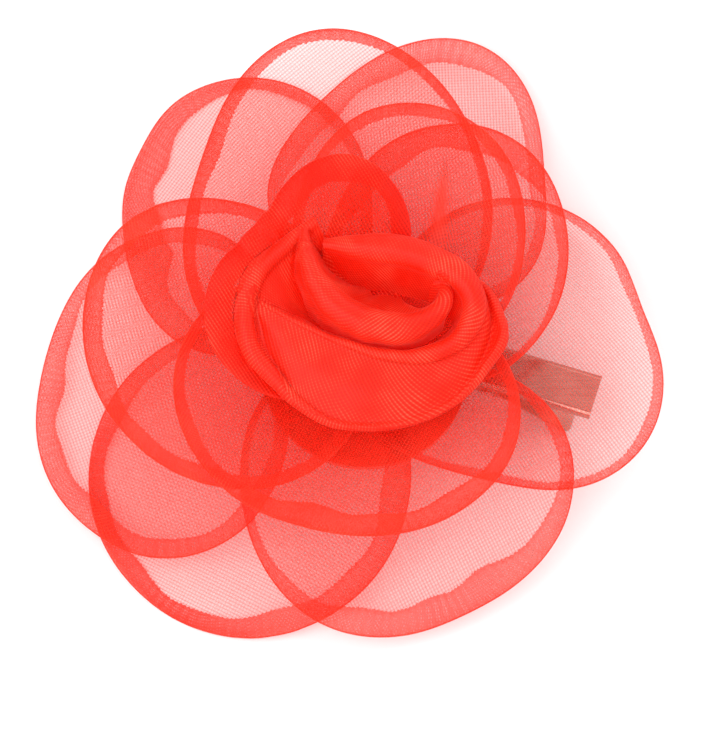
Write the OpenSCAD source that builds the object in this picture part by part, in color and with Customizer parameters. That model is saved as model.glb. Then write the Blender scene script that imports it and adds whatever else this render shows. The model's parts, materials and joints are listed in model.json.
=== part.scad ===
// Flower hair clip: a rose of stiff sheer petals, sewn to a felt backing that
// sits on a sprung metal clip. It lies face up, +Z the way the flower faces.
// The flower's own axis is the middle of the felt backing.

/* [Felt backing] */
// Radius of the round felt that the petals are sewn to
felt_r = 18.5; // [16:0.5:20]
// Thickness of the felt
felt_t = 1.4; // [1:0.2:2]

/* [Petals] */
// Thickness of a petal's cloth
cloth_t = 0.3; // [0.2:0.05:0.3]
// Height step between one petal and the next where they are sewn
sewn_step = 0.45; // [0.4:0.05:0.5]
// Extra height step between outer petals at their rims
rim_step = 0.45; // [0.4:0.05:0.5]
// How far out from the felt the outer petals have dropped to the table
droop_reach = 34; // [32:1:38]
// How much the innermost flat petal rises by its rim
inner_rise = 13; // [11:1:14]
// How much the bud's cup rises above its floor
cup_rise = 10; // [9:0.5:11]
// Share of the cup's rise that is left at its front, where it leans open
front_rise = 0.25; // [0.2:0.05:0.4]

/* [Bud] */
// Height of the rolled heart of the bud
bud_h = 13; // [11:0.5:14]
// Radius of the rolled heart at its lip
bud_r = 13; // [12:0.5:13.5]
// Share of the lip's radius that the roll has at its foot
bud_foot = 0.6; // [0.55:0.05:0.65]

/* [Clip] */
// Width of the clip's metal strip
clip_w = 8.4; // [8:0.2:9]
// Thickness of the strip
strip_t = 0.6; // [0.5:0.1:0.7]
// Length from the hinge to the tip of the jaws
jaw_l = 38; // [34:1:40]
// Length from the hinge to the end of the upper finger tab
tab_l = 19; // [18:0.5:20]
// Depth of the folded edges of the upper strip
edge_d = 1.4; // [1.2:0.1:1.5]
// Radius of the hinge pin
pin_r = 0.75; // [0.7:0.05:0.8]
// Radial clearance of the pin in the lower jaw
pin_gap = 0.05; // [0.03:0.01:0.08]
// Radius of the spring's wire
wire_r = 0.35; // [0.3:0.05:0.35]
// Turns in the spring's coil
coil_turns = 5; // [4:1:5]

/* [Hidden] */

$fn = 48;

// The whole part's box is centred on the origin: the flower's axis is off centre
flower_at = [2.6, -9.7, 0];

// Clip: local X runs to the finger tab, local Y along the pin, pin at the origin
plate_z = 13;
pin_drop = strip_t + 2.4;
pin_z = plate_z - pin_drop;
clip_turn = -17.5;
tab_end_at = [41.6, -4.4];
fold_from = -6;
ear_t = 0.6;
ear_r = 2;
ear_gap = 0.15;
edge_r = 1;
head_r = 1.15;
head_t = 0.4;
upper_in = clip_w / 2 - ear_t;
lower_out = upper_in - ear_gap;
lower_in = lower_out - ear_t;
lower_tab_l = 17.5;
lower_tab_drop = 24.5;
lower_tab_w = clip_w - 0.6;
floor_z = -2;
tip_w = 6.2;
tooth_pitch = 1.8;
tooth_h = 0.7;
toothed_from = -jaw_l + 1.2;
tooth_count = 12;
bite_gap = 0.2;
bite_z = pin_drop - strip_t - bite_gap;
tip_floor_drop = 1.5;
tip_wall = 1.6;
cut_past = 1;
mean_coil_r = pin_r + wire_r + 0.25;
coil_l = 4;

felt_top = plate_z + felt_t;
sewn_z = felt_top + 0.5;
rest_z = cloth_t / 2;
clip_clear = 8.5;
drape_soft = 4;
outer_count = 6;
middle_z = sewn_z + outer_count * sewn_step;
middle_cup = 5;
middle_cup_step = 1;
middle_reach = 46;
inner_z = middle_z + 4 * sewn_step + 0.5;
bud_at = [2, 5];
lean_from_y = -12;
lean_l = 28;
cup_floor_r = 8;
cup_wall_r = 16;
hood_gap = 0.5;
cup_gap = 1;
heart_at = [2.4, 6.2];
heart_z = 24.2;
heart_oval = [1.1, 0.84];
roll_t = 0.4;

around = 28;
rings = 5;

// Round bend: 0 before the start, 1 after the end
function bend(t) =
  let (c = min(1, max(0, t))) c * c * (3 - 2 * c);

// Distance outside the felt and the clip, which the outer petals are draped over
function outside_core(p) =
  let (
    tab = norm(tab_end_at),
    share = min(1, max(0, (p * tab_end_at) / (tab * tab))),
    off_felt = norm(p) - felt_r,
    off_clip = norm(p - share * tab_end_at) - clip_clear
  )
  -drape_soft * ln(exp(-off_felt / drape_soft) + exp(-off_clip / drape_soft));

// Height of the cloth of each level's petal: 0 to 5 are the drooping outer
// petals, 6 to 9 the cupped middle ones, 10 the inner petal, 11 the hood and
// 12 the cup round the bud.
function outer_z(level, p) =
  let (t = bend((outside_core(p) - 1) / droop_reach))
  sewn_z + (rest_z - sewn_z) * t + level * (sewn_step + rim_step * t);

function middle_petal_z(level, r) =
  let (n = level - outer_count, s = r / middle_reach)
  middle_z + sewn_step * n + (middle_cup + middle_cup_step * n) * s * s;

function inner_petal_z(r) = inner_z + inner_rise * pow(r / middle_reach, 1.6);

function hood_z(p) =
  let (
    from_bud = norm(p - bud_at),
    lean = front_rise + (1 - front_rise) * bend((p[1] - lean_from_y) / lean_l)
  )
  inner_petal_z(norm(p)) + hood_gap
    + cup_rise * lean * bend((from_bud - cup_floor_r) / cup_wall_r);

function cloth_z(level, p) =
  level < outer_count ? outer_z(level, p)
  : level < 10 ? middle_petal_z(level, norm(p))
  : level == 10 ? inner_petal_z(norm(p))
  : level == 11 ? hood_z(p)
  : hood_z(p) + cup_gap;

// A petal is a disc cut to a round, oval or egg-shaped outline:
// [level, direction, distance of its middle from the axis, radius,
//  oval share, oval direction, egg share, egg direction]
outer_lower_left = [0, -139.5, 27.8, 28.7, 0.04, -33, 0.008, 7];
outer_upper_left = [1, 123, 39.3, 26.8, 0.139, -86, 0.014, 44];
outer_right = [2, 11.5, 26.4, 28.4, 0.028, -84, 0.098, -39];
outer_lower_right = [3, -73.5, 22.1, 27.6, 0.082, 2, 0.05, 9];
outer_left = [4, -177.5, 36, 26.7, 0.183, -86, 0.04, -45];
outer_upper_right = [5, 76.5, 38.9, 27.1, 0.057, 86, 0.052, -53];
middle_upper = [6, 100, 28.6, 29.7, 0.084, 74.5, 0.037, -21];
middle_right = [7, 53.5, 23.7, 23.9, 0.077, 72, 0.02, -25];
middle_left = [8, 175, 25.2, 26.6, 0.054, -58, 0.009, -54];
middle_front = [9, -111.5, 9.8, 27.8, 0.124, -14, 0.021, 13];
inner_back = [10, 70, 22.5, 22.7, 0.075, 84.5, 0.006, -29];
hood = [11, 131.5, 14, 18.6, 0.22, 59, 0.071, -53];
cup = [12, 67, 5, 20.5, 0.098, -3, 0.024, 6];

function petal_reach(p, a) =
  p[3] * (1 + p[4] * cos(2 * (a - p[5])) + p[6] * cos(3 * (a - p[7])));

function petal_point(p, share, a) =
  let (
    middle = p[2] * [cos(p[1]), sin(p[1])],
    at = middle + share * petal_reach(p, a) * [cos(a), sin(a)]
  )
  [at[0], at[1], cloth_z(p[0], at)];

// A disc of cloth: a middle point and rings of points, above and below
module petal(p) {
  per_side = 1 + rings * around;
  side = [
    petal_point(p, 0, 0),
    for (k = [1:rings], i = [0:around - 1]) petal_point(p, k / rings, 360 * i / around)
  ];
  up = [0, 0, cloth_t / 2];
  points = [for (q = side) q + up, for (q = side) q - up];
  function at(k, i) = 1 + (k - 1) * around + i % around;
  fan = [for (i = [0:around - 1]) [0, at(1, i + 1), at(1, i)]];
  bands = [
    for (k = [1:rings - 1], i = [0:around - 1])
      each [
        [at(k, i), at(k, i + 1), at(k + 1, i + 1)],
        [at(k, i), at(k + 1, i + 1), at(k + 1, i)]
      ]
  ];
  top = concat(fan, bands);
  bottom = [for (f = top) [per_side + f[2], per_side + f[1], per_side + f[0]]];
  rim = [
    for (i = [0:around - 1])
      let (a = at(rings, i), b = at(rings, i + 1))
        each [[a, b, per_side + b], [a, per_side + b, per_side + a]]
  ];
  translate(flower_at)
    polyhedron(points = points, faces = concat(top, bottom, rim));
}

// A wall of rolled cloth standing on the cup's floor. It winds from one angle
// to another while its radius goes from one share of bud_r to another.
module rolled_wall(from, to, r_from, r_to, top_drop) {
  steps = 30;
  tiers = 5;
  function wall_point(i, k, out) =
    let (
      a = from + (to - from) * i / steps,
      h = k / tiers,
      flare = bud_foot + (1 - bud_foot) * bend(h * 0.5) * 2,
      r = bud_r * (r_from + (r_to - r_from) * i / steps) * flare + out,
      high = bud_h - top_drop * bend(i / steps)
    )
    [heart_at[0] + heart_oval[0] * r * cos(a), heart_at[1] + heart_oval[1] * r * sin(a),
      heart_z + high * h];
  row = tiers + 1;
  per_side = (steps + 1) * row;
  points = [
    for (out = [roll_t / 2, -roll_t / 2], i = [0:steps], k = [0:tiers])
      wall_point(i, k, out)
  ];
  function at(i, k) = i * row + k;
  outside = [
    for (i = [0:steps - 1], k = [0:tiers - 1])
      each [
        [at(i, k), at(i, k + 1), at(i + 1, k + 1)],
        [at(i, k), at(i + 1, k + 1), at(i + 1, k)]
      ]
  ];
  inside = [for (f = outside) [per_side + f[2], per_side + f[1], per_side + f[0]]];
  border = concat(
    [for (i = [0:steps]) at(i, 0)],
    [for (k = [1:tiers]) at(steps, k)],
    [for (i = [1:steps]) at(steps - i, tiers)],
    [for (k = [1:tiers - 1]) at(0, tiers - k)]
  );
  n = len(border);
  edge = [
    for (i = [0:n - 1])
      let (a = border[i], b = border[(i + 1) % n])
        each [[a, b, per_side + b], [a, per_side + b, per_side + a]]
  ];
  faces = concat(outside, inside, edge);
  turned = [for (f = faces) [f[2], f[1], f[0]]];
  translate(flower_at)
    polyhedron(points = points, faces = to > from ? faces : turned);
}

module felt_backing() {
  color("orangered")
    translate(flower_at + [0, 0, plate_z])
      cylinder(h = felt_t, r = felt_r);
}

// One bundle of stitches through the felt and every petal, with a knot each end
module binding_thread() {
  stitch_r = 0.45;
  knot_r = 0.9;
  top_z = 23;
  color("orangered")
    translate(flower_at) {
      translate([0, 0, plate_z - 0.5])
        cylinder(h = top_z - plate_z + 0.5, r = stitch_r);
      translate([0, 0, plate_z - knot_r])
        sphere(r = knot_r, $fn = 24);
      translate([0, 0, top_z - knot_r / 2])
        sphere(r = knot_r, $fn = 24);
    }
}

module bud_roll_petal() {
  color("tomato") rolled_wall(140, -100, 0.86, 1.16, 2.5);
}

module bud_heart_petal() {
  color("orangered") rolled_wall(150, 500, 1, 0.6, 1);
}

// Moves a piece from the clip's own frame to its place under the felt
module clip_place() {
  hinge_at = tab_end_at - tab_l * [cos(clip_turn), sin(clip_turn)];
  translate(flower_at + [hinge_at[0], hinge_at[1], pin_z])
    rotate([0, 0, clip_turn])
      children();
}

// A shape drawn in the X-Z plane, extruded along Y and centred on it
module side_extrude(width) {
  rotate([90, 0, 0])
    translate([0, 0, -width / 2])
      linear_extrude(width)
        children();
}

// Upper strip: flat, with its long edges folded down from the tab to the ears
module clip_upper_strip() {
  under = pin_drop - strip_t;
  half_w = clip_w / 2;
  folded_l = tab_l - fold_from;
  color("silver")
    clip_place()
      difference() {
        union() {
          // Flat strip, narrowing to a round tip
          translate([0, 0, under])
            linear_extrude(strip_t) {
              polygon([
                [fold_from, half_w - edge_r], [-jaw_l + tip_w / 2, tip_w / 2],
                [-jaw_l + tip_w / 2, -tip_w / 2], [fold_from, edge_r - half_w]
              ]);
              translate([-jaw_l + tip_w / 2, 0])
                circle(r = tip_w / 2);
            }
          translate([fold_from, edge_r - half_w, under])
            cube([folded_l, clip_w - 2 * edge_r, strip_t]);
          for (side = [0, 1])
            mirror([0, side, 0]) {
              // Rounded fold along the strip's long edge
              intersection() {
                translate([fold_from, half_w - edge_r, under + strip_t - edge_r])
                  rotate([0, 90, 0])
                    difference() {
                      cylinder(h = folded_l, r = edge_r);
                      translate([0, 0, -cut_past])
                        cylinder(h = folded_l + 2 * cut_past, r = edge_r - ear_t);
                    }
                translate([fold_from, half_w - edge_r, under + strip_t - edge_r])
                  cube([folded_l, edge_r, edge_r]);
              }
              // Straight part of the folded edge
              translate([fold_from, half_w - ear_t, under + strip_t - edge_d])
                cube([folded_l, ear_t, edge_d - edge_r]);
              // Ear that holds the pin
              translate([0, half_w - ear_t / 2, 0])
                side_extrude(ear_t) {
                  circle(r = ear_r);
                  translate([-ear_r, 0])
                    square([2 * ear_r, under + strip_t - edge_r]);
                }
            }
        }
        rotate([90, 0, 0])
          cylinder(h = clip_w + 2 * cut_past, r = pin_r, center = true);
      }
}

// Side view of the lower jaw: its wall from the ear to the toothed tip
module jaw_side() {
  toothed_l = tooth_count * tooth_pitch;
  shoulder_l = 3;
  polygon(concat(
    [[0, floor_z - strip_t], [-jaw_l + 1, bite_z - tip_floor_drop], [-jaw_l + 0.5, bite_z]],
    [
      for (i = [0:tooth_count - 1])
        each [
          [toothed_from + i * tooth_pitch, bite_z],
          [toothed_from + (i + 0.5) * tooth_pitch, bite_z - tooth_h]
        ]
    ],
    [[toothed_from + toothed_l, bite_z], [toothed_from + toothed_l + shoulder_l, 0], [0, 0]]
  ));
  circle(r = ear_r);
}

// Lower jaw: a toothed channel, two ears round the pin, and a flared finger tab
module clip_lower_jaw() {
  tip_floor_z = bite_z - tip_floor_drop + strip_t;
  tab_corner_r = 1;
  color("darkgray")
    clip_place()
      difference() {
        union() {
          difference() {
            side_extrude(2 * lower_out)
              jaw_side();
            // Hollow between the walls, open at the top
            side_extrude(2 * lower_in)
              polygon([
                [ear_r + cut_past, floor_z], [0, floor_z], [-jaw_l + tip_wall, tip_floor_z],
                [-jaw_l + tip_wall, bite_z + cut_past], [ear_r + cut_past, bite_z + cut_past]
              ]);
          }
          // Finger tab, bent down from the channel's floor
          translate([-0.3, 0, floor_z])
            rotate([0, lower_tab_drop, 0])
              translate([0, 0, -strip_t])
                linear_extrude(strip_t) {
                  polygon([
                    [0, -lower_in - 0.1], [lower_tab_l - tab_corner_r, -lower_tab_w / 2],
                    [lower_tab_l - tab_corner_r, lower_tab_w / 2], [0, lower_in + 0.1]
                  ]);
                  translate([lower_tab_l - tab_corner_r, tab_corner_r - lower_tab_w / 2])
                    square([tab_corner_r, lower_tab_w - 2 * tab_corner_r]);
                  for (side = [-1, 1])
                    translate([lower_tab_l - tab_corner_r, side * (lower_tab_w / 2 - tab_corner_r)])
                      circle(r = tab_corner_r);
                }
        }
        rotate([90, 0, 0])
          cylinder(h = clip_w + 2 * cut_past, r = pin_r + pin_gap, center = true);
      }
}

module hinge_pin() {
  color("gray")
    clip_place()
      rotate([90, 0, 0]) {
        cylinder(h = clip_w, r = pin_r, center = true);
        for (side = [-1, 1])
          translate([0, 0, side * (clip_w + head_t) / 2])
            cylinder(h = head_t, r = head_r, center = true);
      }
}

// Round wire swept along a list of points in planes square to Y
module torsion_spring() {
  steps = 14;
  sides = 6;
  leg_l = 9;
  sag = 0.05;
  leg_rise = 0.65;
  last = coil_turns * steps;
  up_leg = [for (k = [3, 0]) [-leg_l * k / 3, -coil_l / 2, mean_coil_r]];
  coil = [
    for (i = [1:last + steps / 2])
      let (a = 90 - 360 * i / steps)
        [mean_coil_r * cos(a), -coil_l / 2 + coil_l * i / (last + steps / 2),
          mean_coil_r * sin(a)]
  ];
  down_leg = [[-leg_l, coil_l / 2 + sag, -mean_coil_r + leg_rise]];
  path = concat(up_leg, coil, down_leg);
  n = len(path);
  function along(i) =
    let (d = path[min(n - 1, i + 1)] - path[max(0, i - 1)]) d / norm(d);
  function ring(i) =
    let (t = along(i), u = cross(t, [0, 1, 0]), u1 = u / norm(u), v = cross(u1, t))
      [for (j = [0:sides - 1])
        path[i] + wire_r * (u1 * cos(360 * j / sides) + v * sin(360 * j / sides))];
  points = [for (i = [0:n - 1]) each ring(i)];
  walls = [
    for (i = [0:n - 2], j = [0:sides - 1])
      let (a = i * sides + j, b = i * sides + (j + 1) % sides)
        each [[a, b, b + sides], [a, b + sides, a + sides]]
  ];
  caps = [
    [for (j = [0:sides - 1]) sides - 1 - j],
    [for (j = [0:sides - 1]) (n - 1) * sides + j]
  ];
  color("gainsboro")
    clip_place()
      polyhedron(points = points, faces = concat(walls, caps));
}

felt_backing();
binding_thread();
color("salmon") petal(outer_lower_left);  // outer_petal_lower_left
color("salmon") petal(outer_upper_left);  // outer_petal_upper_left
color("salmon") petal(outer_right);  // outer_petal_right
color("salmon") petal(outer_lower_right);  // outer_petal_lower_right
color("salmon") petal(outer_left);  // outer_petal_left
color("salmon") petal(outer_upper_right);  // outer_petal_upper_right
color("coral") petal(middle_upper);  // middle_petal_upper
color("coral") petal(middle_right);  // middle_petal_right
color("coral") petal(middle_left);  // middle_petal_left
color("coral") petal(middle_front);  // middle_petal_front
color("tomato") petal(inner_back);  // inner_petal_back
color("tomato") petal(hood);  // bud_hood_petal
color("orangered") petal(cup);  // bud_cup_petal
bud_roll_petal();
bud_heart_petal();
clip_upper_strip();
clip_lower_jaw();
hinge_pin();
torsion_spring();
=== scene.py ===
# %% [markdown]
# # A sheer flower hair clip
#
# The real thing is a rose sewn from discs of organza, a stiff cloth so open that
# the layers behind it show through. The petals are stitched to a round of felt,
# and the felt is glued to a sprung metal clip.
#
# The CAD frame already holds every piece at its real size. This lesson keeps the
# metal as it is, and dresses the frame in cloth that is cut, folded and rolled.

# %% Load the frame
import json
import math

import bpy
import numpy as np
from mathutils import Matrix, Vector
from mathutils.bvhtree import BVHTree


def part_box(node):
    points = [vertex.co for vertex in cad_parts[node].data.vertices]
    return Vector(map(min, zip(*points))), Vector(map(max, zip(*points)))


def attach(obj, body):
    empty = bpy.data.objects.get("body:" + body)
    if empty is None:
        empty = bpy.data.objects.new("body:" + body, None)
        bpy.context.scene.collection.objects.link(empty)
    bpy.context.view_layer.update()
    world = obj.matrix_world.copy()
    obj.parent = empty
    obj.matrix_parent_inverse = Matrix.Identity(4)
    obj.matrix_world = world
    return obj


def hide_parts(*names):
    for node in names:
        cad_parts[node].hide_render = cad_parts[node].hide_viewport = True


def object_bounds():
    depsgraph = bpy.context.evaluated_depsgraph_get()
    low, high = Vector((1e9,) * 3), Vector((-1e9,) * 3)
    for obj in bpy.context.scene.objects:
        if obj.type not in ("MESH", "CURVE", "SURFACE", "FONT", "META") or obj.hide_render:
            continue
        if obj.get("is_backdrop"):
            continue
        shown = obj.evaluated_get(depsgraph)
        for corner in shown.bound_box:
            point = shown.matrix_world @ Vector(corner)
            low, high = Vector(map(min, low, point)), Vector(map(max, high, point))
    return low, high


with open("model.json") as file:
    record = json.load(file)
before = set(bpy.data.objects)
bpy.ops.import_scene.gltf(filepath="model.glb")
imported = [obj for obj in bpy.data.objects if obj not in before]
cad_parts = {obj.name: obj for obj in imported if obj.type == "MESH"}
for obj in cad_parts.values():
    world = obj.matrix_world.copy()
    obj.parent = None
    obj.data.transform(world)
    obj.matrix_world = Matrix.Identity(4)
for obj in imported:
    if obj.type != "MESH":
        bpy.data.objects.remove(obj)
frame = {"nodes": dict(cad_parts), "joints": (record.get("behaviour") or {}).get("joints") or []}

cad_box = [list(map(float, corner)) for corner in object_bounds()]
nodes = frame["nodes"]
MM = 0.001
print("the CAD box in mm:", [[round(c / MM, 1) for c in corner] for corner in cad_box])

# %% [markdown]
# The flower's own axis is the middle of the felt backing. All bud sizes below are
# measured from that point, with the height measured from the table.

# %% The flower's axis
felt_low, felt_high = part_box("felt_backing")
AXIS = np.array([(felt_low.x + felt_high.x) / 2, (felt_low.y + felt_high.y) / 2])
FELT_R = (felt_high.x - felt_low.x) / 2
FELT_TOP = felt_high.z
print("flower axis in mm:", AXIS / MM, "felt radius", round(FELT_R / MM, 2))

# %% [markdown]
# ## The table, the light and the camera
#
# Sheer cloth is judged against what lies behind it, so the table is white and
# evenly lit. A broad soft light from the front keeps the shadows under the petals
# faint, and a weaker one from behind gives the cloth its gentle shine.

# %% Camera
VIEW_ELEVATION = math.radians(70)
VIEW_DISTANCE = 0.9
VIEW_WIDTH = 0.1262
SENSOR = 36
AIM_ASIDE, AIM_FORWARD = 2.6 * MM, 0.96 * MM

toward_camera = Vector((0, -math.cos(VIEW_ELEVATION), math.sin(VIEW_ELEVATION)))
view_target = Vector((AXIS[0] - AIM_ASIDE, AXIS[1] - AIM_FORWARD, FELT_TOP))
bpy.ops.object.camera_add(
    location=view_target + VIEW_DISTANCE * toward_camera,
    rotation=(math.pi / 2 - VIEW_ELEVATION, 0, 0),
)
camera = bpy.context.object
camera.name = "camera"
camera.data.sensor_fit = "HORIZONTAL"
camera.data.sensor_width = SENSOR
camera.data.lens = SENSOR * VIEW_DISTANCE / VIEW_WIDTH
bpy.context.scene.camera = camera
print("lens in mm:", round(camera.data.lens))

# %% Lights and table
def area_light(name, place, size, power):
    """A square soft light at place that shines at the flower."""
    bpy.ops.object.light_add(type="AREA", location=place)
    lamp = bpy.context.object
    lamp.name = name
    lamp.data.size = size
    lamp.data.energy = power
    aim = Vector((0, 0, FELT_TOP)) - Vector(place)
    lamp.rotation_euler = aim.to_track_quat("-Z", "Y").to_euler()


area_light("front_softbox", (-0.32, -0.3, 0.68), 0.8, 6.0)
area_light("back_softbox", (0.4, 0.35, 0.6), 0.7, 2.6)

# The studio is bright near the horizon and fades overhead: where the fade starts
# and ends, and how bright it is at each
STUDIO_FADE = (0.2, 1.0, 1.15, 0.55)

world = bpy.data.worlds.new("studio_white")
world.use_nodes = True
sky = world.node_tree
ray = sky.nodes.new("ShaderNodeTexCoord")
height = sky.nodes.new("ShaderNodeSeparateXYZ")
fade = sky.nodes.new("ShaderNodeMapRange")
for index, value in enumerate(STUDIO_FADE):
    fade.inputs[index + 1].default_value = value
sky.links.new(ray.outputs["Generated"], height.inputs[0])
sky.links.new(height.outputs["Z"], fade.inputs[0])
sky.links.new(fade.outputs[0], sky.nodes["Background"].inputs["Strength"])
sky.nodes["Background"].inputs["Color"].default_value = (1, 1, 1, 1)
bpy.context.scene.world = world

bpy.ops.mesh.primitive_plane_add(size=6, location=(0, 0, 0))
table = bpy.context.object
table.name = "table"
table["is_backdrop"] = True
white_card = bpy.data.materials.new("white_card")
white_card.use_nodes = True
card = white_card.node_tree.nodes["Principled BSDF"]
card.inputs["Base Color"].default_value = (0.82, 0.82, 0.82, 1)
card.inputs["Roughness"].default_value = 0.8
table.data.materials.append(white_card)
scene = bpy.context.scene
scene.view_settings.view_transform = "Standard"
scene.cycles.transparent_max_bounces = 64
print("the stage is set")

# %% [markdown]
# ## Materials
#
# A small helper makes each material: it clears the node tree and hands back
# short ways to add and link nodes. The patterns are all worked out by nodes.

# %% A helper for node materials
class Finish:
    """A material and its node tree, with short calls to add and link nodes."""

    def __init__(self, name):
        self.material = bpy.data.materials.new(name)
        self.material.use_nodes = True
        self.tree = self.material.node_tree
        self.tree.nodes.clear()
        self.output = self.add("OutputMaterial")

    def add(self, kind, **values):
        node = self.tree.nodes.new("ShaderNode" + kind)
        for key, value in values.items():
            setattr(node, key, value)
        return node

    def link(self, source, target):
        self.tree.links.new(source, target)

    def math(self, operation, first, second=None, third=None):
        node = self.add("Math", operation=operation)
        for socket, value in zip(node.inputs, (first, second, third)):
            if isinstance(value, (int, float)):
                socket.default_value = value
            elif value is not None:
                self.link(value, socket)
        return node.outputs[0]

    def scaled(self, value, low, high, new_low=0.0, new_high=1.0, smooth=False):
        node = self.add("MapRange")
        node.interpolation_type = "SMOOTHSTEP" if smooth else "LINEAR"
        for index, number in enumerate((low, high, new_low, new_high)):
            node.inputs[index + 1].default_value = number
        self.link(value, node.inputs[0])
        return node.outputs[0]

    def noise(self, vector, scale, detail=2.0, roughness=0.5):
        node = self.add("TexNoise")
        node.inputs["Scale"].default_value = scale
        node.inputs["Detail"].default_value = detail
        node.inputs["Roughness"].default_value = roughness
        self.link(vector, node.inputs["Vector"])
        return node.outputs["Fac"]

    def colours(self, fac, *stops):
        node = self.add("ValToRGB")
        ramp = node.color_ramp
        while len(ramp.elements) < len(stops):
            ramp.elements.new(0.5)
        for element, (place, colour) in zip(ramp.elements, stops):
            element.position = place
            element.color = (*colour, 1)
        self.link(fac, node.inputs[0])
        return node.outputs["Color"]

    def bump(self, height, distance, strength=1.0):
        node = self.add("Bump")
        node.inputs["Strength"].default_value = strength
        node.inputs["Distance"].default_value = distance
        self.link(height, node.inputs["Height"])
        return node.outputs["Normal"]


# %% [markdown]
# ### Organza
#
# Organza is a plain weave of fine twisted yarn with gaps as wide as the yarn or
# wider. The pattern is read from each piece's own flat cutting pattern, stored as
# a UV map in metres, so the threads bend and fold with the cloth. Two sine waves
# across that map draw the warp and the weft, and where neither lies there is a hole.
# Light also passes through the yarn itself, which a Translucent shader gives.

# %% Organza material
YARN_PITCH = 0.57 * MM


def organza(name, open_cover, yarn_cover, hem_cover, translucence, gap_fuzz_and_shade, shade_to_highlight):
    """Sheer woven cloth. open_cover is how much the fuzz fills a gap in the weave,
    yarn_cover how much a yarn fills and hem_cover how much a gathered fold adds.
    The gaps' colour dims what lies behind them: partly their fuzz and partly a painted
    shade of the table under the flower. The yarn's colours run from a painted shade
    deep in the weave to a painted highlight on its tops."""
    cloth = Finish(name)
    flat = cloth.add("UVMap", uv_map="cutting_pattern").outputs[0]
    gathered = cloth.add("Attribute", attribute_name="gather").outputs["Fac"]
    split = cloth.add("SeparateXYZ")
    cloth.link(flat, split.inputs[0])
    uneven = cloth.noise(flat, 700, 2)
    blotch = cloth.noise(flat, 110, 3)
    yarns = []
    for along, across, slack, weight in (("X", "Y", 0.4, 1.0), ("Y", "X", 0.3, 0.6)):
        stretched = cloth.add("CombineXYZ")
        cloth.link(cloth.math("MULTIPLY", split.outputs[along], 1500), stretched.inputs[0])
        cloth.link(cloth.math("MULTIPLY", split.outputs[across], 45), stretched.inputs[1])
        slub = cloth.noise(stretched.outputs[0], 1, 2)
        phase = cloth.math("MULTIPLY", split.outputs[along], 2 * math.pi / YARN_PITCH)
        wave = cloth.math("COSINE", cloth.math("MULTIPLY_ADD", uneven, slack, phase))
        thick = cloth.math("MULTIPLY_ADD", slub, 0.8, cloth.math("ADD", wave, -0.4))
        yarns.append(cloth.scaled(thick, -0.7, 0.9, 0, weight, smooth=True))
    either = cloth.math("MAXIMUM", yarns[0], yarns[1])
    both = cloth.math("MULTIPLY", yarns[0], yarns[1])
    weave = cloth.math("MULTIPLY_ADD", both, 0.3, cloth.math("MULTIPLY", either, 0.7))
    loose = cloth.scaled(weave, 0, 1, open_cover, yarn_cover)
    gap_left = cloth.math("SUBTRACT", 1, loose)
    cover = cloth.math("MULTIPLY_ADD", cloth.math("MULTIPLY", gathered, hem_cover), gap_left, loose)
    # The tone is high on the yarns' tops and low deep in the weave, which the colours turn into a
    # painted highlight and a painted shade; the blotches add random tone
    tone = cloth.math("MULTIPLY_ADD", weave, 0.6, cloth.scaled(blotch, 0.3, 0.7, 0, 0.4))
    colour = cloth.colours(tone, *zip((0.0, 0.6, 1.0), shade_to_highlight))
    yarn = cloth.add("BsdfPrincipled")
    cloth.link(colour, yarn.inputs["Base Color"])
    cloth.link(cloth.scaled(blotch, 0.3, 0.7, 0.38, 0.55), yarn.inputs["Roughness"])
    yarn.inputs["Sheen Weight"].default_value = 0.22
    yarn.inputs["Sheen Roughness"].default_value = 0.4
    yarn.inputs["Sheen Tint"].default_value = (1, 0.45, 0.35, 1)
    yarn.inputs["Specular IOR Level"].default_value = 0.3
    cloth.link(cloth.bump(weave, 0.06 * MM, 0.7), yarn.inputs["Normal"])
    glow = cloth.add("BsdfTranslucent")
    cloth.link(colour, glow.inputs["Color"])
    body = cloth.add("MixShader")
    body.inputs[0].default_value = translucence
    cloth.link(yarn.outputs[0], body.inputs[1])
    cloth.link(glow.outputs[0], body.inputs[2])
    # The gaps dim what lies behind them: partly their fuzz and partly a painted shade of the table under
    # the flower
    gap = cloth.add("BsdfTransparent")
    gap.inputs["Color"].default_value = (*gap_fuzz_and_shade, 1)
    sheer = cloth.add("MixShader")
    cloth.link(cover, sheer.inputs[0])
    cloth.link(gap.outputs[0], sheer.inputs[1])
    cloth.link(body.outputs[0], sheer.inputs[2])
    cloth.link(sheer.outputs[0], cloth.output.inputs["Surface"])
    return cloth.material


# Yarn colours, from a painted shade deep in the weave, through the yarn's own colour, to a painted
# highlight on its tops
PETAL_SHADE_TO_HIGHLIGHT = ((0.98, 0.03, 0.008), (1.0, 0.055, 0.02), (1.0, 0.14, 0.08))
BUD_SHADE_TO_HIGHLIGHT = ((0.8, 0.01, 0.001), (0.95, 0.024, 0.004), (1.0, 0.17, 0.09))
# The colour just before each cloth's yarn colours is its gaps' colour, partly fuzz and partly a painted
# shade of the table seen through them
petal_organza = organza("petal_organza", 0.05, 0.56, 0.8, 0.55, (0.95, 0.91, 0.91), PETAL_SHADE_TO_HIGHLIGHT)
hood_organza = organza("hood_organza", 0.3, 0.8, 0.75, 0.5, (0.98, 0.82, 0.78), BUD_SHADE_TO_HIGHLIGHT)
bud_organza = organza("bud_organza", 0.9, 0.99, 0.6, 0.38, (0.98, 0.6, 0.5), BUD_SHADE_TO_HIGHLIGHT)
print("organza: yarn pitch", YARN_PITCH / MM, "mm")
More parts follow.
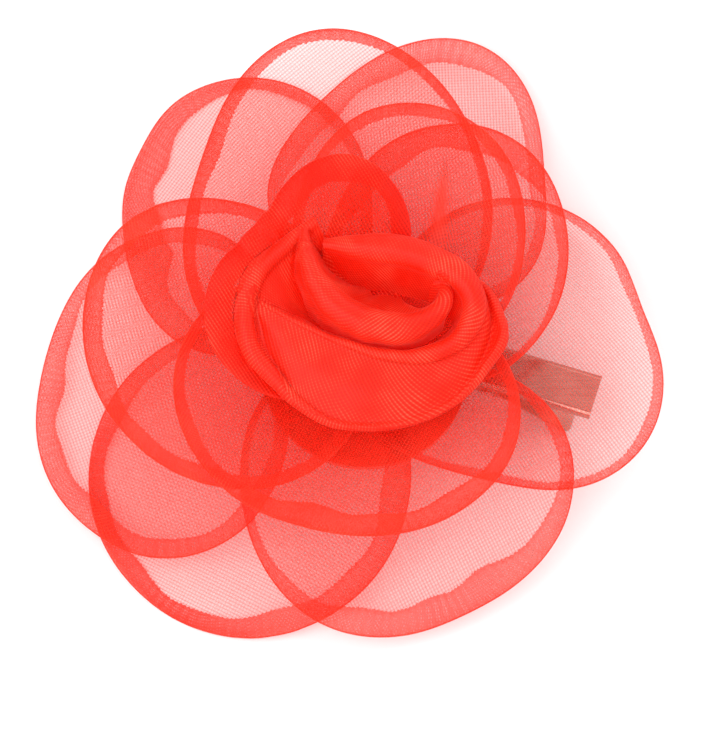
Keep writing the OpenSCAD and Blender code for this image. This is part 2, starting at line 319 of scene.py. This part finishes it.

# %% [markdown]
# ### Felt, thread and metal
#
# Felt is matted fibre: soft blotches of colour, no shine, a fuzzy bump. The clip
# is plated steel, whose faint drawing lines run along the strip. The strip's colour is
# warmed towards the coral of the cloth above it, a painted reflection of that cloth.

# %% Felt and thread materials
def felt_finish():
    felt = Finish("coral_felt")
    place = felt.add("TexCoord").outputs["Object"]
    fibre = felt.noise(place, 2600, 6, 0.7)
    matted = felt.noise(place, 350, 3)
    mixed = felt.math("MULTIPLY_ADD", fibre, 0.6, felt.math("MULTIPLY", matted, 0.4))
    colour = felt.colours(mixed, (0.3, (0.9, 0.04, 0.015)), (0.7, (1.0, 0.09, 0.045)))
    shader = felt.add("BsdfPrincipled")
    felt.link(colour, shader.inputs["Base Color"])
    felt.link(felt.scaled(matted, 0.3, 0.7, 0.8, 0.98), shader.inputs["Roughness"])
    shader.inputs["Sheen Weight"].default_value = 0.5
    shader.inputs["Specular IOR Level"].default_value = 0.1
    felt.link(felt.bump(mixed, 0.25 * MM, 0.8), shader.inputs["Normal"])
    felt.link(shader.outputs[0], felt.output.inputs["Surface"])
    return felt.material


def thread_finish():
    thread = Finish("coral_thread")
    place = thread.add("TexCoord").outputs["Object"]
    twist = thread.add("TexWave", bands_direction="DIAGONAL")
    twist.inputs["Scale"].default_value = 900
    twist.inputs["Distortion"].default_value = 1.5
    thread.link(place, twist.inputs["Vector"])
    ply = twist.outputs["Fac"]
    # The grooves of the twist are painted darker than the plies, a painted shade between them
    colour = thread.colours(ply, (0, (0.6, 0.02, 0.012)), (1, (0.95, 0.09, 0.05)))
    shader = thread.add("BsdfPrincipled")
    thread.link(colour, shader.inputs["Base Color"])
    thread.link(thread.scaled(ply, 0, 1, 0.45, 0.65), shader.inputs["Roughness"])
    thread.link(thread.bump(ply, 0.05 * MM, 0.5), shader.inputs["Normal"])
    thread.link(shader.outputs[0], thread.output.inputs["Surface"])
    return thread.material


coral_felt = felt_finish()
coral_thread = thread_finish()


# %% Metal materials
def plated_metal(name, light, dark, roughness, drawn_along):
    """Plated steel. Fine drawing lines run along the unit vector drawn_along."""
    metal = Finish(name)
    place = metal.add("TexCoord").outputs["Object"]
    turn = metal.add("Mapping")
    turn.inputs["Rotation"].default_value = (0, 0, -math.atan2(drawn_along[1], drawn_along[0]))
    turn.inputs["Scale"].default_value = (120, 5200, 5200)
    metal.link(place, turn.inputs["Vector"])
    lines = metal.noise(turn.outputs[0], 1, 3)
    smudge = metal.noise(place, 160, 3)
    worn = metal.noise(place, 900, 4, 0.65)
    tone = metal.math("MULTIPLY_ADD", lines, 0.4, metal.math("MULTIPLY", smudge, 0.6))
    colour = metal.colours(tone, (0.3, dark), (0.7, light))
    shader = metal.add("BsdfPrincipled")
    shader.inputs["Metallic"].default_value = 1
    metal.link(colour, shader.inputs["Base Color"])
    rough = metal.math("MULTIPLY_ADD", worn, 0.22, roughness - 0.08)
    metal.link(metal.math("MULTIPLY_ADD", lines, 0.06, rough), shader.inputs["Roughness"])
    metal.link(metal.bump(lines, 0.012 * MM, 0.35), shader.inputs["Normal"])
    metal.link(shader.outputs[0], metal.output.inputs["Surface"])
    return metal.material


hinge = frame["joints"][0]
pin_axis = hinge["axis"]
strip_way = (pin_axis[1], -pin_axis[0])
# The strip's light and dark colours are tinted coral, a painted reflection of the cloth above it
plated_strip = plated_metal("plated_strip", (0.55, 0.33, 0.28), (0.34, 0.19, 0.16), 0.2, strip_way)
pin_steel = plated_metal("pin_steel", (0.66, 0.65, 0.63), (0.48, 0.47, 0.46), 0.32, pin_axis)
spring_wire = plated_metal("spring_wire", (0.62, 0.61, 0.60), (0.40, 0.39, 0.38), 0.28, pin_axis)
for name, material in (
    ("clip_upper_strip", plated_strip),
    ("clip_lower_jaw", plated_strip),
    ("hinge_pin", pin_steel),
    ("torsion_spring", spring_wire),
):
    nodes[name].data.materials.clear()
    nodes[name].data.materials.append(material)
print("metal on the clip's strip, jaw, pin and spring")

# %% [markdown]
# ## How a petal is cut
#
# A petal starts flat: a circle, inset again and again in edit mode until it is a
# disc of rings. Its outermost rings are the hem allowance. The flat shape is kept
# as the cutting pattern (a UV map), and only then is the disc laid over the frame.

# %% Cut a flat disc
AROUND = 384
FACE_RINGS = 16
FOLD_RINGS = 5
HEM_RINGS = 4
ALL_RINGS = FACE_RINGS + FOLD_RINGS + HEM_RINGS


def deselect_all():
    if bpy.context.object and bpy.context.object.mode != "OBJECT":
        bpy.ops.object.mode_set(mode="OBJECT")
    bpy.ops.object.select_all(action="DESELECT")


def cut_disc(name):
    """A flat unit disc of rings: a circle that is inset ring by ring and poked."""
    deselect_all()
    bpy.ops.mesh.primitive_circle_add(vertices=AROUND, radius=1, fill_type="NGON")
    disc = bpy.context.object
    disc.name = name
    bpy.ops.object.mode_set(mode="EDIT")
    bpy.ops.mesh.select_mode(type="FACE")
    bpy.ops.mesh.select_all(action="SELECT")
    for _ in range(ALL_RINGS - 1):
        bpy.ops.mesh.inset(thickness=math.cos(math.pi / AROUND) / ALL_RINGS)
    bpy.ops.mesh.poke()
    bpy.ops.object.mode_set(mode="OBJECT")
    return disc


def rings_of(disc):
    """Each vertex's ring, 0 at the middle, and its angle."""
    flat = np.empty(len(disc.data.vertices) * 3)
    disc.data.vertices.foreach_get("co", flat)
    flat = flat.reshape(-1, 3)
    ring = np.rint(np.hypot(flat[:, 0], flat[:, 1]) * ALL_RINGS).astype(int)
    return ring, np.arctan2(flat[:, 1], flat[:, 0])


pattern_disc = cut_disc("pattern_disc")
disc_ring, disc_angle = rings_of(pattern_disc)
print("one disc has", len(disc_ring), "vertices")

# %% [markdown]
# The frame's plain petals say where each one lies. Their rims have a fixed number
# of corners at even angles, so the rim's distance from the petal's middle can be
# read as a short sum of waves: the round, the oval and the egg of its outline.

# %% Read a petal's outline and height from the frame
RIM_CORNERS = 28


def outline_of(node):
    """The petal's middle, and a function that gives its reach at an angle."""
    mesh = nodes[node].data
    corners = {tuple(round(c, 6) for c in v.co[:2]) for v in mesh.vertices}
    points = np.array(sorted(corners))
    middle = points.mean(0)
    away = points - middle
    turn = np.rint(np.arctan2(away[:, 1], away[:, 0]) * RIM_CORNERS / (2 * math.pi))
    distance = np.hypot(away[:, 0], away[:, 1])
    reach = np.array([distance[turn % RIM_CORNERS == k].max() for k in range(RIM_CORNERS)])
    waves = np.fft.rfft(reach) / RIM_CORNERS

    def reach_at(angle):
        total = np.full(np.shape(angle), waves[0].real)
        for order in (2, 3):
            total += 2 * (waves[order] * np.exp(1j * order * angle)).real
        return total

    return middle, reach_at


def height_on(node):
    """A function that gives the height of a frame petal's cloth under a point."""
    tree = BVHTree.FromObject(nodes[node], bpy.context.evaluated_depsgraph_get())
    low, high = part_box(node)

    def height_at(x, y):
        hit = tree.ray_cast(Vector((x, y, high.z + 0.01)), Vector((0, 0, -1)))[0]
        if hit is None:
            hit = tree.find_nearest(Vector((x, y, (low.z + high.z) / 2)))[0]
        return hit.z

    return height_at


def smooth_heights(heights, times):
    """Evens out the frame's flat facets, ring by ring and round each ring."""
    for _ in range(times):
        round_it = (np.roll(heights, 1, 1) + heights + np.roll(heights, -1, 1)) / 3
        inner = (round_it[:-2] + round_it[1:-1] + round_it[2:]) / 3
        heights = np.vstack([round_it[:1], inner, round_it[-1:]])
    return heights


# %% [markdown]
# ## How a petal is folded
#
# At the fold line the cloth makes a tight turn and runs back under the face. The
# raw edge of this hem is cut along no thread in particular, so it steps in small
# teeth. Where the two layers lie on each other their threads no longer agree, and
# that makes the watery bands that mark real organza.

# %% Fold and lay a petal
FOLD_R = 0.3 * MM
TOOTH = 0.22 * MM
RIPPLE = 0.18 * MM
RUFFLE = 1.8 * MM
OUTER_R = 55 * MM
PUCKERS = 96
SETTLE_ROUNDS = 4


CLEARANCE = 0.12 * MM
laid = [BVHTree.FromObject(nodes["felt_backing"], bpy.context.evaluated_depsgraph_get())]


def top_of_laid(x, y, under=1.0):
    """The height of the highest cloth already laid at a place, looking down from
    under, or None where there is none."""
    hits = [tree.ray_cast(Vector((x, y, under)), Vector((0, 0, -1)))[0] for tree in laid]
    heights = [hit.z for hit in hits if hit is not None]
    return max(heights) if heights else None


def lay_down(cloth, points):
    """Puts a piece's mesh at its points, and keeps it for the pieces laid next."""
    cloth.data.vertices.foreach_set("co", points.ravel())
    cloth.data.update()
    faces = [face.vertices[:] for face in cloth.data.polygons]
    laid.append(BVHTree.FromPolygons(points.tolist(), faces))


def settle(spots, heights, hang):
    """Lifts a petal's face where it would sink into the petals below. hang is how
    far the folded hem hangs under the face at each ring."""
    need = np.zeros(heights.shape)
    for ring, spoke in np.ndindex(heights.shape):
        below = top_of_laid(*spots[ring, spoke])
        if below is not None:
            need[ring, spoke] = below + hang[ring] + CLEARANCE - heights[ring, spoke]
    lift = np.maximum(need, 0)
    for _ in range(SETTLE_ROUNDS):
        lift = np.maximum(smooth_heights(lift, 2), need)
    return heights + np.maximum(lift, 0)


def hem_width(angle, narrow, wide, wide_at, seed):
    """How deep the hem is at each angle: widest at the direction wide_at."""
    turned = angle - math.radians(wide_at)
    swell = (0.5 + 0.5 * np.cos(turned)) ** 2.5
    uneven = 0.12 * np.sin(5 * angle + seed) + 0.08 * np.sin(11 * angle + 2 * seed)
    return (narrow + (wide - narrow) * swell) * (1 + uneven)


def ruffle(away, height):
    """The flower's petals all wave up and down together, more towards their rims.
    The lowest ones lie on the table, so they wave less."""
    turn = np.arctan2(away[..., 1], away[..., 0])
    outward = np.hypot(away[..., 0], away[..., 1]) / OUTER_R
    wave = np.sin(3 * turn + 0.6) + 0.5 * np.sin(7 * turn + 2)
    lifted = np.clip((height - 3 * MM) / (15 * MM), 0, 1)
    return RUFFLE * outward ** 2 * wave * lifted


def hem_gather(angle, dense, seed):
    """How tightly the hem is gathered at each angle: the small puckers come and go."""
    fade = 0.5 + 0.5 * np.sin(3 * angle + seed) * np.sin(7 * angle + 2 * seed)
    return dense + 0.15 * fade * np.sin(PUCKERS * angle + 2 * np.sin(2 * angle + seed))


def teeth(angle, seed):
    """The steps of the raw edge, in and out at every second corner."""
    rng = np.random.default_rng(seed)
    step = rng.uniform(0.2, 1, AROUND) * np.where(np.arange(AROUND) % 2, 1, -1)
    index = np.rint(angle / (2 * math.pi) * AROUND).astype(int) % AROUND
    return TOOTH * step[index]


def lay_petal(name, node, hem, weave_turn, seed, fold_r=FOLD_R, dense=0.5, bulge=(0, 0, 1),
              material=petal_organza, shape=None):
    """Cuts a disc, lays it on the frame's petal node, folds its hem and adds it to
    the flower. dense is how tightly the hem is gathered, and bulge how far in mm the
    rim swells, at which direction and over what spread. shape may bend it further
    and gather it."""
    narrow, wide, wide_at = hem
    middle, reach_at = outline_of(node)
    height_at = height_on(node)
    spokes = np.arange(AROUND) * 2 * math.pi / AROUND
    swell, at, spread = bulge
    off = (np.degrees(spokes) - at + 180) % 360 - 180
    reach = reach_at(spokes) + swell * MM * np.exp(-((off / spread) ** 2))
    shares = np.linspace(0, 1, FACE_RINGS + 1)
    spots = middle + (shares[:, None] * reach)[..., None] * np.stack(
        [np.cos(spokes), np.sin(spokes)], -1
    )
    heights = np.array([[height_at(*spot) for spot in ring] for ring in spots])
    heights = np.maximum(smooth_heights(heights, 6), 2 * fold_r + 0.3 * MM)
    heights += RIPPLE * shares[:, None] ** 2 * (
        np.sin(5 * spokes + seed) + 0.6 * np.sin(9 * spokes + 2.3 * seed)
    ) + ruffle(spots - AXIS, heights)
    hem_starts = 1 - (wide + 1) * MM / reach.min()
    heights = settle(spots, heights, np.where(shares > hem_starts, 2 * fold_r, 0))

    spoke = np.rint(disc_angle / (2 * math.pi) * AROUND).astype(int) % AROUND
    edge = reach[spoke]
    depth = hem_width(disc_angle, narrow * MM, wide * MM, wide_at, seed)
    turn = np.clip((disc_ring - FACE_RINGS) / FOLD_RINGS, 0, 1) * math.pi
    back = np.clip((disc_ring - FACE_RINGS - FOLD_RINGS) / HEM_RINGS, 0, 1)
    hem_run = back * depth + np.where(back == 1, teeth(disc_angle, seed), 0)
    face_share = np.clip(disc_ring / FACE_RINGS, 0, 1)
    radius = np.where(
        disc_ring <= FACE_RINGS,
        face_share * (edge - fold_r),
        edge - fold_r + fold_r * np.sin(turn) - hem_run,
    )
    drop = fold_r * (1 - np.cos(turn))
    flat_radius = np.where(
        disc_ring <= FACE_RINGS,
        face_share * (edge - fold_r),
        edge - fold_r + fold_r * turn + hem_run,
    )
    row = np.clip(radius / edge, 0, 1) * FACE_RINGS
    below = np.clip(np.floor(row).astype(int), 0, FACE_RINGS - 1)
    part = row - below
    z = heights[below, spoke] * (1 - part) + heights[below + 1, spoke] * part - drop
    way = np.stack([np.cos(disc_angle), np.sin(disc_angle)], -1)
    points = np.column_stack([middle + radius[:, None] * way, z])
    creased = np.zeros(len(points))
    if shape:
        points, creased = shape(points)

    grain = disc_angle - math.radians(weave_turn)
    pattern = flat_radius[:, None] * np.stack([np.cos(grain), np.sin(grain)], -1)
    petal = pattern_disc.copy()
    petal.data = pattern_disc.data.copy()
    petal.name = name
    bpy.context.scene.collection.objects.link(petal)
    add_pattern(petal, pattern)
    in_hem = (disc_ring > FACE_RINGS) * hem_gather(disc_angle, dense, seed)
    raw_edge = np.where(disc_ring == ALL_RINGS, 0.3, 0)
    at_fold = np.where(disc_ring == FACE_RINGS, 0.45, np.sin(turn))
    add_gather(petal, in_hem + at_fold + raw_edge + creased)
    lay_down(petal, points)
    finish_cloth(petal, material, node)


def add_pattern(cloth, pattern):
    """Stores each vertex's place on the flat cutting pattern as a UV map."""
    layer = cloth.data.uv_layers.get("cutting_pattern")
    layer = layer or cloth.data.uv_layers.new(name="cutting_pattern")
    corner = np.empty(len(cloth.data.loops), int)
    cloth.data.loops.foreach_get("vertex_index", corner)
    layer.data.foreach_set("uv", pattern[corner].astype(np.float32).ravel())


def add_gather(cloth, amount):
    """Stores how tightly the cloth is gathered, 0 flat to 1 in the fold."""
    gather = cloth.data.attributes.new("gather", "FLOAT", "POINT")
    gather.data.foreach_set("value", np.clip(amount, 0, 1).astype(np.float32))


def finish_cloth(cloth, material, node):
    """Gives cloth its smooth shading, material and place on the frame."""
    deselect_all()
    cloth.select_set(True)
    bpy.context.view_layer.objects.active = cloth
    bpy.ops.object.shade_smooth()
    cloth.data.materials.clear()
    cloth.data.materials.append(material)
    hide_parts(node)
    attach(cloth, "flower")


# %% [markdown]
# ## The petals
#
# Each petal has its own hem (its narrow and wide depth in millimetres, and the
# direction where it is widest) and its own grain, because the discs are cut from
# the cloth any way round. They are laid from the lowest up, and each one is lifted
# clear of the cloth already under it.

# %% Outer petals
lay_petal("outer_lower_left", "outer_petal_lower_left", (3.0, 4.2, -20), 62, 2)
lay_petal("outer_upper_left", "outer_petal_upper_left", (1.8, 7.2, 190), -35, 3, dense=0.35,
          bulge=(-1, 140, 18))
lay_petal("outer_right", "outer_petal_right", (1.2, 1.7, 10), 38, 4, bulge=(1.4, 45, 30))
lay_petal("outer_lower_right", "outer_petal_lower_right", (1.0, 5.2, -65), 29, 5)
lay_petal("outer_left", "outer_petal_left", (2.6, 4.2, 215), 20, 6, bulge=(1.4, 205, 45))
lay_petal("outer_upper_right", "outer_petal_upper_right", (2.0, 4.6, 100), 2, 7, dense=0.4,
          bulge=(3.2, 66, 34))

# %% Middle petals
lay_petal("middle_upper", "middle_petal_upper", (1.2, 2.2, 165), -50, 8, 0.42 * MM, 0.8,
          bulge=(1.3, 95, 50))
lay_petal("middle_right", "middle_petal_right", (1.0, 4.6, 95), 28, 9, 0.38 * MM, 0.6)
lay_petal("middle_left", "middle_petal_left", (2.2, 3.1, 200), 12, 10, 0.46 * MM, 0.7,
          bulge=(-1, 175, 40))
lay_petal("middle_front", "middle_petal_front", (1.2, 4.4, -85), -28, 11, 0.46 * MM, 0.7)


# %% [markdown]
# The innermost flat petal has one soft upright pleat behind the bud, where the
# cloth was pinched by the stitches. Gently raised points along a short line make it.

# %% Inner petal and the hood of the bud
def pleat(points):
    """Raises a soft ridge in the inner petal, fading out at both its ends."""
    foot, tip = AXIS + (12.5 * MM, 17 * MM), AXIS + (14.6 * MM, 35 * MM)
    way = (tip - foot) / np.linalg.norm(tip - foot)
    along = (points[:, :2] - foot) @ way / np.linalg.norm(tip - foot)
    aside = (points[:, :2] - foot) @ np.array([way[1], -way[0]])
    width = (2.4 - 1.9 * np.clip(along, 0, 1)) * MM
    fade = np.sin(math.pi * np.clip(along, 0, 1)) ** 0.7
    ridge = fade * np.exp(-((aside / width) ** 2))
    raised = points.copy()
    raised[:, 2] += 2.4 * MM * ridge
    return raised, ridge


lay_petal("inner_back", "inner_petal_back", (1.2, 1.8, 90), 15, 12, 0.34 * MM, 0.7, shape=pleat)
lay_petal("bud_hood", "bud_hood_petal", (3.4, 5.8, 150), 35, 13, 0.4 * MM, 0.8,
          material=hood_organza)
bpy.data.objects.remove(pattern_disc)

# %% [markdown]
# ## The rolled bud
#
# The bud's own petals are folded double and rolled. Their folded tops make thick
# soft lips. Each petal is a grid swept along the crest of its lip: the rows of the
# grid follow one folded cross-section, from the foot inside the bud, up and over
# the lip, to the foot outside. A few stations along the crest give its place, how
# fat the lip is there, and how far and how low each wall reaches.

# %% Sweep a folded petal along its crest
ALONG = 140
ACROSS = 44
REACH_UP = 6 * MM
CREASE = 0.12
THINNEST_LIP = 0.25


def smooth_path(points, count):
    """A smooth curve through a few points, as count evenly parted points."""
    points = np.array(points, float)
    ends = np.vstack([2 * points[0] - points[1], points, 2 * points[-1] - points[-2]])
    fine = []
    for i in range(1, len(ends) - 2):
        before, start, end, after = ends[i - 1:i + 3]
        for t in np.linspace(0, 1, 24, endpoint=i == len(ends) - 3):
            fine.append(0.5 * (
                2 * start + (end - before) * t
                + (2 * before - 5 * start + 4 * end - after) * t ** 2
                + (3 * start - before - 3 * end + after) * t ** 3
            ))
    fine = np.array(fine)
    steps = np.linalg.norm(np.diff(fine[:, :3], axis=0), axis=1)
    run = np.r_[0, np.cumsum(steps)]
    wanted = np.linspace(0, run[-1], count)
    return np.column_stack([np.interp(wanted, run, column) for column in fine.T])


def folded_section(lip, top, out_reach, out_low, in_reach, in_low):
    """Points (out, up) from the inner foot over the lip to the outer foot, in mm."""
    arc = [(-lip * math.cos(a), top - lip + lip * math.sin(a))
           for a in np.radians((-15, 25, 65, 90, 115, 155, 195))]
    low_lip = top - 1.3 * lip
    inner = [(-in_reach, in_low),
             (-lip - 0.45 * (in_reach - lip), in_low + 0.55 * (low_lip - in_low))]
    outer = [(lip + 0.5 * (out_reach - lip), out_low + 0.75 * (low_lip - out_low)),
             (out_reach, out_low)]
    return [(o, u, 0) for o, u in inner + arc + outer]


def stood_on(rows):
    """The heights of a rolled sheet's points, lifted clear of the cloth just under
    them. Cloth more than REACH_UP above a point is a lip it is tucked under."""
    heights = rows[..., 2].copy()
    for spot in np.ndindex(heights.shape):
        x, y, z = rows[spot]
        below = top_of_laid(x, y, z + REACH_UP)
        if below is not None:
            heights[spot] = max(z, below + CLEARANCE)
    return heights


def roll_petal(name, node, stations, weave_turn, side):
    """Sweeps a folded cross-section through the stations, given in mm from the
    flower's axis. side is 1 where the outside is to the right of the way along."""
    deselect_all()
    bpy.ops.mesh.primitive_grid_add(x_subdivisions=ALONG, y_subdivisions=ACROSS, size=2)
    sheet = bpy.context.object
    sheet.name = name
    flat = np.empty(len(sheet.data.vertices) * 3)
    sheet.data.vertices.foreach_get("co", flat)
    flat = flat.reshape(-1, 3)
    along = np.rint((flat[:, 0] + 1) / 2 * ALONG).astype(int)
    across = np.rint((flat[:, 1] + 1) / 2 * ACROSS).astype(int)
    path = smooth_path(stations, ALONG + 1)
    ahead = np.gradient(path[:, :2], axis=0)
    ahead /= np.linalg.norm(ahead, axis=1)[:, None]
    out = side * np.column_stack([ahead[:, 1], -ahead[:, 0]])
    rows = []
    for place, way in zip(path, out):
        x, y, top, lip, out_reach, out_low, in_reach, in_low = place
        section = smooth_path(
            folded_section(max(lip, THINNEST_LIP), top, out_reach, out_low, in_reach, in_low), ACROSS + 1
        )
        spot = np.array([x, y]) + section[:, :1] * way
        rows.append(np.column_stack([spot, section[:, 1]]))
    rows = np.array(rows)
    crest_run = np.linspace(0, 1, ALONG + 1)[:, None]
    wall = np.abs(np.linspace(-1, 1, ACROSS + 1))[None, :]
    crease = np.sin(38 * crest_run + 3 * wall) + 0.7 * np.sin(67 * crest_run - 4 * wall + 1)
    rows[..., :2] += (CREASE * crease * (0.25 + wall))[..., None] * out[:, None, :]
    rows *= MM
    rows[..., :2] += AXIS
    rows[..., 2] = stood_on(rows)
    girth = np.linalg.norm(np.diff(rows, axis=1), axis=2)
    girth = np.concatenate([np.zeros((ALONG + 1, 1)), np.cumsum(girth, axis=1)], axis=1)
    lengths = np.linalg.norm(np.diff(rows, axis=0), axis=2).sum(0)
    run = crest_run[:, 0] * lengths[ACROSS // 2]
    turn = math.radians(weave_turn)
    grain = np.array([[math.cos(turn), -math.sin(turn)], [math.sin(turn), math.cos(turn)]])
    add_pattern(sheet, np.column_stack([run[along], girth[along, across]]) @ grain)
    add_gather(sheet, 0.5 * np.abs(across / ACROSS * 2 - 1))
    lay_down(sheet, rows[along, across])
    finish_cloth(sheet, bud_organza, node)


# %% The cup
roll_petal("bud_cup", "bud_cup_petal", [
    (-8.8, 20.5, 36, 1, -2, 27, 5, 29),
    (-14.4, 16, 35.5, 1.5, -3, 26, 7, 27),
    (-19.4, 10.9, 34.5, 1.8, -4, 25, 13, 26),
    (-21.2, 4.7, 33, 1.9, -5, 24, 16, 25),
    (-20.3, -1.4, 31.5, 1.8, -5, 23.6, 16, 25),
    (-16.2, -6.3, 29.8, 1.5, -5, 23.2, 14, 25),
    (-12.2, -10.4, 28.2, 1.1, -5, 23, 7, 25),
    (-6.7, -13.9, 27, 0.8, -5, 23, 6, 25),
    (0.7, -14.9, 26.6, 0.7, -5, 23, 6, 25),
    (8.6, -13.8, 26.6, 0.7, -5, 23, 6, 25),
    (16.4, -9.7, 27.2, 0.8, -5, 23.4, 6, 25),
    (21.6, -3.8, 28.4, 0.9, -5, 23.6, 6, 25),
    (24.3, 0.6, 29.4, 0.9, -5, 24, 6, 25),
    (23.8, 5.4, 29.4, 0.8, -5, 24.6, 5, 26),
    (21.4, 10.4, 29, 0.6, -4, 25, 4, 26.5),
    (17.4, 13.4, 28.6, 0.4, -3, 26, 3, 27),
], 5, 1)

# %% The roll inside the cup
roll_petal("bud_roll", "bud_roll_petal", [
    (-7.5, 16.8, 34, 1, 3, 27, 3, 28),
    (-0.5, 16.4, 35.3, 2.6, 2.5, 26, 4.5, 24),
    (6.7, 15.6, 35.6, 3, 3, 26, 4.5, 24),
    (14.2, 13, 35, 2.8, 3, 26, 4.5, 24),
    (18.4, 9.2, 34.2, 2.4, 3, 26, 5, 26),
    (19.3, 4.8, 33, 2.2, 3.5, 26, 4, 26),
    (17.3, 0.8, 31.8, 2, 5.5, 26, 3.5, 26),
    (13.2, -1.9, 31, 1.8, 9, 25.8, 3, 26),
    (7.6, -3.2, 30.8, 1.5, 11.3, 25.6, 3, 26),
    (-0.9, -1.9, 31.2, 1, 13.2, 25.8, 2.5, 27),
    (-8.1, 0.9, 31.7, 0.7, 12.2, 26.4, 2, 28),
    (-14.5, 3.9, 32.2, 0.5, 6.2, 28.6, 1.5, 30),
    (-18, 6.2, 31.8, 0.4, 3, 29, 1.2, 29.5),
    (-20.2, 8.4, 31.2, 0.3, 1.5, 29, 1, 29.5),
], 35, -1)

# %% The heart of the bud
roll_petal("bud_heart", "bud_heart_petal", [
    (-10.6, 18.8, 36.8, 0.4, 1.5, 30, 1, 30),
    (-10.3, 14.5, 36.4, 1.4, 3, 27, 4, 27),
    (-8.7, 9.9, 35.8, 2.2, 3, 26, 6, 25.5),
    (-6, 6.3, 35.3, 2.8, 3, 25.5, 8, 25),
    (-2, 3.4, 34.7, 3, 2.5, 25.5, 8, 25),
    (3.4, 1.8, 34.2, 3, 2, 25.5, 8.5, 25),
    (8.4, 2, 33.9, 2.6, 2, 25.5, 8, 25),
    (12, 3.8, 33.6, 2, 1.5, 25.5, 6, 25),
    (14, 6.6, 33.2, 1.5, 0.6, 26, 3, 26),
    (14.2, 9.2, 32.4, 1.2, 0.6, 26, 2.5, 26),
    (12.4, 10.8, 31.2, 1, 0.6, 26, 2, 26),
], 40, 1)

# %% [markdown]
# ## Felt and stitches

# %% Felt backing
for name, material in (("felt_backing", coral_felt), ("binding_thread", coral_thread)):
    nodes[name].data.materials.clear()
    nodes[name].data.materials.append(material)

# %% Size of the finished flower
visual_box = [list(map(float, corner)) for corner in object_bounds()]
print("the finished box in mm:", [[round(c / MM, 1) for c in b] for b in visual_box])
